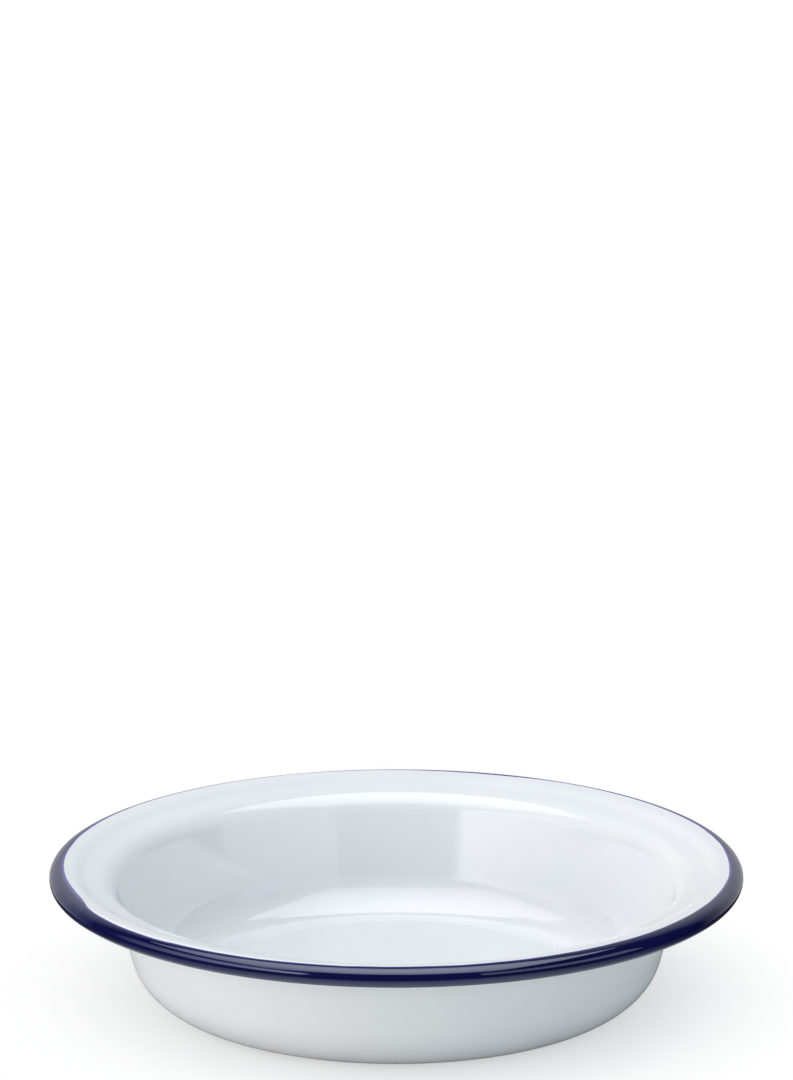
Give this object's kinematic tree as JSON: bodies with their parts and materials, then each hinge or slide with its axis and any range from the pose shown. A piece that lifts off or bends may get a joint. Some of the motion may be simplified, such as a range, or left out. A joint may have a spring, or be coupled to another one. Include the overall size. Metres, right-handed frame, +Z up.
{
  "type": "pie dish",
  "caption": "Round shallow enamelled steel pie dish with a flared wall, a narrow stepped flange and a blue rolled rim, for baking and serving pies.",
  "frame": {"origin": "on the dish's own axis, at the level of the surface that the dish stands on", "axes": "+Z up along the dish's own axis of revolution; X and Y are free, since the dish is round"},
  "size_m": [0.22, 0.22, 0.0436],
  "materials": {
    "sheet_steel": "bare low-carbon sheet steel, seen only inside the rolled rim",
    "white_enamel": "glossy cool white glass enamel fused to steel",
    "blue_enamel": "glossy deep cobalt blue glass enamel fused over the rolled rim"
  },
  "bodies": {
    "root": {"pressed_steel_dish": "sheet_steel", "white_inside_enamel": "white_enamel", "white_outside_enamel": "white_enamel", "blue_rim_enamel": "blue_enamel"}
  },
  "joints": []
}
